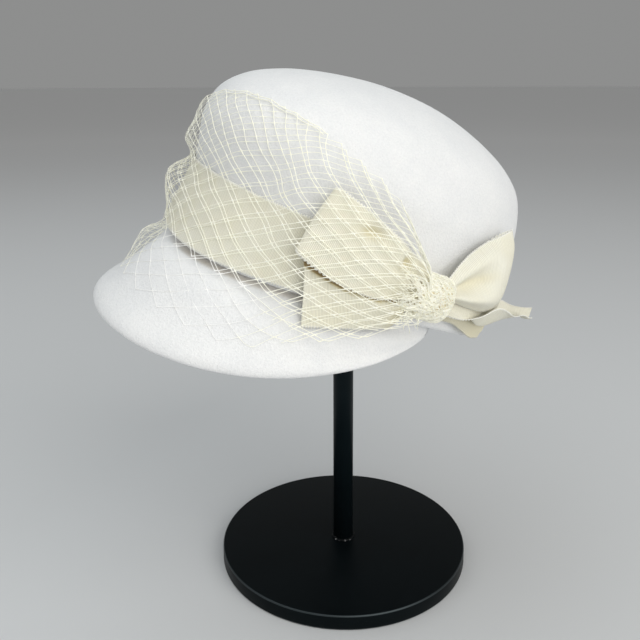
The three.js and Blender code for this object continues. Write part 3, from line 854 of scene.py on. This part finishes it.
def net_thread():
    material, tree, shader = new_material("cream_net_thread", {"Roughness": 0.6, **NET_FINISH_AND_PAINTED_GLOW})
    place = add(tree, "ShaderNodeTexCoord").outputs["Object"]
    cloud = add(tree, "ShaderNodeTexNoise", {"Vector": place, "Scale": 300, "Detail": 2})
    cream = ramp(tree, cloud.outputs["Fac"], (0.3, (1, 0.985, 0.83)), (0.7, (1, 0.99, 0.89)))
    # Painted light: the threads are paler where they lie on the peak.
    pale = add(tree, "ShaderNodeAttribute", attribute_name="pale").outputs["Fac"]
    tree.links.new(mixed(tree, cream, NET_PAINTED_PALE, pale), shader.inputs["Base Color"])
    return material


def bundled_net():
    """The barrel under the threads: the same net crushed into a mass, with painted shade in its gaps."""
    material, tree, shader = new_material("cream_bundled_net", {"Roughness": 0.7, **NET_FINISH_AND_PAINTED_GLOW})
    place = add(tree, "ShaderNodeTexCoord").outputs["Object"]
    mesh = add(tree, "ShaderNodeTexVoronoi", {"Vector": place, "Scale": 1100}, feature="DISTANCE_TO_EDGE")
    painted_gap_shade = ramp(tree, mesh.outputs["Distance"], (0.06, (0.96, 0.9, 0.66)), (0.24, (0.7, 0.58, 0.32)))
    height = {"Height": mesh.outputs["Distance"], "Strength": 0.6, "Distance": -0.0006}
    bump = add(tree, "ShaderNodeBump", height)
    tree.links.new(painted_gap_shade, shader.inputs["Base Color"])
    tree.links.new(bump.outputs["Normal"], shader.inputs["Normal"])
    return material


def barrel(s, w):
    pleat = 0.35 * math.sin(11 * math.pi * w + 2 * math.sin(4 * s))
    return knot_point(2 * math.pi * w, 2 * s - 1, 0.93 + 0.03 * pleat)


thread = net_thread()
bm = laid_out(barrel, 24, 60)
bmesh.ops.remove_doubles(bm, verts=bm.verts, dist=1e-3)
open_ends = [edge for edge in bm.edges if edge.is_boundary]
bmesh.ops.holes_fill(bm, edges=open_ends, sides=0)
bmesh.ops.recalc_face_normals(bm, faces=bm.faces)
bmesh.ops.transform(bm, matrix=BOW, verts=bm.verts)
knot = finished(bm, "net_wrapped_knot", bundled_net(), "bow_knot")


def threads(name, runs, radius, to_world, node=None):
    """A mesh of threads; each run is a list of points with the thread's swelling there."""
    data = bpy.data.curves.new(name, "CURVE")
    data.dimensions = "3D"
    data.bevel_depth = radius
    data.bevel_resolution = 0
    data.use_fill_caps = True
    for run in runs:
        line = data.splines.new("POLY")
        line.points.add(len(run) - 1)
        for target, (spot, swell) in zip(line.points, run):
            target.co = (*(to_world @ Vector(spot)), 1)
            target.radius = swell
    holder = bpy.data.objects.new(name, data)
    bpy.context.scene.collection.objects.link(holder)
    mesh = bpy.data.meshes.new_from_object(holder.evaluated_get(bpy.context.evaluated_depsgraph_get()))
    bpy.data.objects.remove(holder)
    bpy.data.curves.remove(data)
    bm = bmesh.new()
    bm.from_mesh(mesh)
    bpy.data.meshes.remove(mesh)
    # Painted light: where a thread lies on the peak it is marked to be painted paler.
    pale = bm.verts.layers.float.new("pale")
    from_world = CAP.inverted()
    for vert in bm.verts:
        spot = from_world @ vert.co
        vert[pale] = eased(-spot.z, 1, 6) * (1 - eased(spot.x, 54, 61)) * eased(spot.x, -26, -12)
    return finished(bm, name, thread, node)


chance = np.random.default_rng(11)
wrap = []
for _ in range(KNOT_THREADS):
    start, span = chance.uniform(-2.1, 1.3), chance.uniform(0.5, 1.7)
    along, drift = chance.uniform(-1.9, 0.95), chance.choice((-1, 1)) * chance.uniform(0.5, 2.4)
    swell, phase = chance.uniform(0.98, 1.07), chance.uniform(0, 6)
    run = []
    for k in range(26):
        t = k / 25
        across = along + drift * (t - 0.5) + 0.04 * math.sin(17 * t * span + phase)
        turn = start + span * t + 0.03 * math.sin(23 * t + 2 * phase)
        lift = swell + 0.03 * math.sin(9 * t + phase)
        spot = knot_point(turn, max(min(across, 2 * THREADS_TURN - across), -1), lift)
        run.append((spot + Vector((min(across + 1, 0) * 0.45 * KNOT_LENGTH, 0, 0)), 1))
    wrap.append(run)
for _ in range(CUT_ENDS):
    foot = Vector((chance.uniform(-17, -1), chance.uniform(-13.5, -9), chance.uniform(9.5, 13)))
    reach = Vector((chance.uniform(-9, 7), chance.uniform(-8, 1), chance.uniform(-1.5, 1.5)))
    bend = Vector((chance.uniform(-4, 4), chance.uniform(-3, 2), chance.uniform(-0.5, 2)))
    wrap.append([(foot + reach * t + bend * math.sin(math.pi * t), 1.4) for t in np.linspace(0, 1, 12)])
knot_wrap = threads("net_knot_threads", wrap, KNOT_THREAD, BOW)

# ---- Veil ----
# Open diamond net, folded double along its upper edge. It is gathered into the knot on the bow's
# side, spreads over band, crown and peak, and is caught down again on the far side.

NET_ROWS = 12
CELL_SIDE = 9.2  # knot to knot
NET_HEM = 2.8
THREAD = 0.000172
NET_SKEW = 1.7  # cells by which the upper edge is drawn towards the bow
LAYER_GAP = 0.45
ON_CROWN = (7, 10)  # rows over which the net passes from the band to the crown
FAR_END = (0.13, 0.24)  # shares of the length over which its far end passes into the drape

# Direction round the crown, how far the net comes down the peak and up the crown, and its lift at
# its lower edge, half and near all the way up the peak, and over the crown's foot, the band, the
# band's upper edge, and twice on the crown above.
VEIL = [
    (-66, 16, 26, (1, 3, 1, 2.2, 3.2, 2.5, 3, 3)),
    (-56, 31, 42, (1.2, 8, 1.6, 2.2, 6.5, 2.8, 4, 3.2)),
    (-46, 38, 50, (0.8, 10, 2, 2.6, 10, 3, 7, 4)),
    (-36, 38, 56, (0.8, 10, 2, 2.6, 12, 3.2, 8.5, 5)),
    (-22, 34, 64, (0.8, 2.8, 1.4, 2.2, 9, 3, 5.5, 3.5)),
    (-8, 32, 72.5, (0.8, 1, 1, 2, 4.6, 2.6, 3, 2)),
    (8, 33, 77, (0.8, 1, 1.2, 2, 3.4, 2.8, 2.2, 2)),
    (24, 33.5, 76.5, (0.8, 1.2, 2, 3.6, 4.6, 4, 2.4, 2)),
    (36, 32, 74, (1.2, 2.6, 5, 8.5, 12.2, 12.6, 12, 7)),
    (46, 23, 69.5, (2.6, 5, 9, 12, 14.6, 14.8, 13.8, 7)),
    (56, 16.5, 64, (5.5, 6.5, 9.5, 12.5, 15, 15, 14, 8)),
    (64, 10, 56, (7, 8, 10.5, 13, 15, 15, 14.5, 11)),
    (71.5, 0, 38, (11, 11, 12, 13, 14.6, 15, 14.6, 13)),
]

columns = []
for degrees, down, up, lifts in VEIL:
    angle = math.radians(degrees)
    edge = min(band_low(angle) + BAND_WIDTH, 0.75 * up)
    columns.append([
        over_peak(angle, down, PEAK_THICK / 2 + lifts[0]),
        over_peak(angle, 0.48 * down, PEAK_THICK / 2 + lifts[1]),
        over_peak(angle, 0.2 * down, PEAK_THICK / 2 + lifts[2]),
        wall(angle, 3, lifts[3]),
        wall(angle, min(20, 0.5 * up), lifts[4]),
        wall(angle, edge, lifts[5]),
        wall(angle, edge + 0.35 * (up - edge), lifts[6]),
        wall(angle, edge + 0.7 * (up - edge), lifts[7]),
        wall(angle, up, min(lifts[7], NET_HEM)),
    ])
for along, low, high in ((-0.75, -1.6, 1.45), (-0.1, -1.75, 1.6)):
    turns = np.linspace(low, high, 9)
    columns.append([BOW_ON_CAP @ knot_point(turn, along, 1.05) for turn in turns])
net_surface = strip(list(zip(*columns)))
NET_S, NET_W = 180, 144
rough = np.array([[net_surface(i / NET_S, j / NET_W) for j in range(NET_W + 1)] for i in range(NET_S + 1)])
rises = np.cumsum(np.linalg.norm(np.diff(rough, axis=1), axis=2), axis=1)
rises = np.concatenate([np.zeros((NET_S + 1, 1)), rises], axis=1)
net_width = rises[:, -1]
net_foot = NET_ROWS * rises[:, 3 * NET_W // 8] / net_width  # the row that lies at the crown's foot
even = np.linspace(0, 1, NET_W + 1)
net_grid = np.array([
    [np.interp(even * net_width[i], rises[i], rough[i, :, axis]) for axis in range(3)]
    for i in range(NET_S + 1)
]).transpose(0, 2, 1)
net_normal = np.cross(np.gradient(net_grid, axis=0), np.gradient(net_grid, axis=1))
net_normal /= np.linalg.norm(net_normal, axis=2, keepdims=True)
cell_height = np.minimum(net_width / NET_ROWS, 1.9 * CELL_SIDE)
cell_length = 2 * np.sqrt(CELL_SIDE**2 - (cell_height / 2) ** 2)
steps = np.linalg.norm(np.diff(net_grid[:, NET_W // 2], axis=0), axis=1)
cells = np.concatenate([[0], np.cumsum(steps / ((cell_length[1:] + cell_length[:-1]) / 2))])
NET_CELLS = cells[-1]
stations = np.arange(NET_S + 1)


def on_net(p, q, lift):
    """A point on the draped net: p cells along from its far end, q cells up from its lower edge."""
    shift = Vector((0.7 * p, 0.7 * q, 3))
    above = max(q / NET_ROWS - 0.45, 0) / 0.55
    p += NET_SKEW * above**2 * math.sin(math.pi * min(max(p / NET_CELLS, 0), 1)) + 0.16 * noise.noise(shift)
    q += 0.12 * noise.noise(shift + Vector((9, 4, 0))) * math.sin(math.pi * min(max(q / NET_ROWS, 0), 1))
    s = np.interp(p, cells, stations)
    w = min(max(q / NET_ROWS, 0), 1) * NET_W
    i, j = min(int(s), NET_S - 1), min(int(w), NET_W - 1)
    fs, fw = s - i, w - j
    weights = ((1 - fs) * (1 - fw), fs * (1 - fw), (1 - fs) * fw, fs * fw)
    corners = ((i, j), (i + 1, j), (i, j + 1), (i + 1, j + 1))
    spot = sum(k * net_grid[c] for k, c in zip(weights, corners))
    normal = sum(k * net_normal[c] for k, c in zip(weights, corners))
    return Vector(spot + lift * normal)


def net_layer(lift, slide, cut):
    """The threads of one layer. slide(p, q) is how far its rising and its falling threads lie
    beside the other layer's, in cells, and cut(p) is its lowest row."""
    runs = []
    for slant in (1, -1):
        for k in range(-NET_ROWS - 2, int(NET_CELLS) + NET_ROWS + 3):
            run = []
            for step in range(8 * NET_ROWS + 1):
                q = step / 8
                p = k + slant * q
                half_row = (step // 4) / 2 + 0.25
                low = cut(k + slant * half_row)
                if 0 <= p <= NET_CELLS and half_row > low:
                    hidden = eased(hem_row(p) - q, 0, 1)
                    faint = 0.36 * hidden + (0.3 if slant > 0 else -0.12) * eased(q, *ON_CROWN)
                    faint -= 0.2 * (1 - eased(p / NET_CELLS, *FAR_END))
                    swell = (1.8 if step % 4 == 0 else 1) * (1 - faint)
                    rising, falling = slide(p, q)
                    place = min(p + (rising + falling) / 2, NET_CELLS)
                    run.append((on_net(place, q + (falling - rising) / 2, lift), swell))
            if len(run) > 2:
                runs.append(run)
    return runs


def net_edge(rise, lift):
    """The thread drawn along a layer's upper edge, as far as the bow, where the cells hang open."""
    spots = np.arange(0, 0.6 * NET_CELLS, 0.125)
    return [(on_net(p, NET_ROWS + rise - 0.1 * abs(math.sin(math.pi * p)), lift), 1.2) for p in spots]


def hem_row(p):
    """The outer layer ends at the crown's foot, and runs right down only at its two ends."""
    s = np.interp(p, cells, stations)
    share = s / NET_S
    foot = np.interp(s, stations, net_foot) - 0.1 - 0.4 * eased(share, 0.3, 0.42)
    return foot * eased(share, 0.19, 0.24) * (1 - eased(share, 0.58, 0.66)) + 3 * eased(share, 0.78, 0.9)


def inner_slide(p, q):
    """The inner layer's threads lie in pairs with the outer's over the band, and come to lie
    between them on the crown, over the bow and at the far end."""
    stray = 0.09 * noise.noise(Vector((0.35 * p, 0.35 * q, 20)))
    on_crown = eased(q, *ON_CROWN)
    on_bow = eased(p / NET_CELLS, 0.5, 0.66)
    free = 1 - eased(p / NET_CELLS, *FAR_END)
    rising = 0.15 + 0.3 * max(0.9 * on_crown, 0.5 * on_bow, free)
    return rising + stray, 0.2 + 0.26 * max(on_crown * (1 - on_bow), free) + stray


net_runs = net_layer(0, lambda p, q: (0, 0), hem_row)
net_runs += net_layer(-LAYER_GAP, inner_slide, lambda p: 0)
net_runs += [net_edge(0, 0), net_edge(-0.12, -LAYER_GAP)]
net_runs.append([(on_net(0, q, 0), 1.3) for q in np.linspace(0, NET_ROWS, 8 * NET_ROWS)])  # its far end
veil = threads("net_veil", net_runs, THREAD, CAP, "veil")

# ---- Stage ----
# A plain pale floor, soft studio light and the camera.

bm = bmesh.new()
bmesh.ops.create_circle(bm, cap_ends=True, segments=96, radius=30)
mesh = bpy.data.meshes.new("floor")
bm.to_mesh(mesh)
bm.free()
floor = bpy.data.objects.new("floor", mesh)
bpy.context.scene.collection.objects.link(floor)
floor.location.z = cad_low.z - 0.0002
floor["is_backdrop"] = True
pale, tree, shader = new_material("pale_floor", {"Roughness": 0.8})
place = add(tree, "ShaderNodeTexCoord").outputs["Object"]
away = add(tree, "ShaderNodeVectorMath", {0: place}, operation="LENGTH")
far = add(tree, "ShaderNodeMapRange", {"Value": away.outputs["Value"], "From Min": 0.1, "From Max": 3.5})
# Painted light: the floor is painted lighter far out, where the lamps light it less, so it meets the world's
# colour.
paint = ramp(tree, far.outputs["Result"], (0, (0.66, 0.67, 0.675)), (1, (0.9, 0.9, 0.9)))
tree.links.new(paint, shader.inputs["Base Color"])
mesh.materials.append(pale)

CAMERA_PLACE = Vector((0.31974, -0.31673, 0.2928))
CAMERA_TURN = (math.radians(90 - 8.87), math.radians(0.2), math.radians(47))
LIGHT_AIM = Vector((0, 0, 0.2))
LIGHT_SIZE = 2.2
camera_data = bpy.data.cameras.new("camera")
camera_data.lens = 43.49
camera_data.sensor_width = 36
camera_data.shift_y = -0.1875
camera_data.clip_start = 0.01
camera = bpy.data.objects.new("camera", camera_data)
camera.location = CAMERA_PLACE
camera.rotation_euler = CAMERA_TURN
bpy.context.scene.collection.objects.link(camera)
bpy.context.scene.camera = camera


def soft_light(name, place, power, colour):
    light = bpy.data.lights.new(name, "AREA")
    light.shape = "DISK"
    light.size = LIGHT_SIZE
    light.energy = power
    light.color = colour
    lamp = bpy.data.objects.new(name, light)
    lamp.location = place
    lamp.rotation_euler = (LIGHT_AIM - Vector(place)).to_track_quat("-Z", "Y").to_euler()
    bpy.context.scene.collection.objects.link(lamp)


soft_light("key", (1.49, -0.26, 0.95), 25, (1, 0.99, 0.965))
soft_light("fill", (0.05, -1.41, 1.05), 3.9, (1, 0.995, 0.985))
soft_light("overhead", (-0.3, -0.45, 1.65), 9.5, (0.88, 0.955, 1))
world = bpy.data.worlds.new("studio")
world.use_nodes = True
world.node_tree.nodes["Background"].inputs["Color"].default_value = (0.27, 0.272, 0.27, 1)
world.node_tree.nodes["Background"].inputs["Strength"].default_value = 1
bpy.context.scene.world = world
bpy.context.scene.view_settings.view_transform = "Standard"

low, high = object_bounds()
sizes = {"cad": [list(cad_low), list(cad_high)], "visual": [list(low), list(high)]}
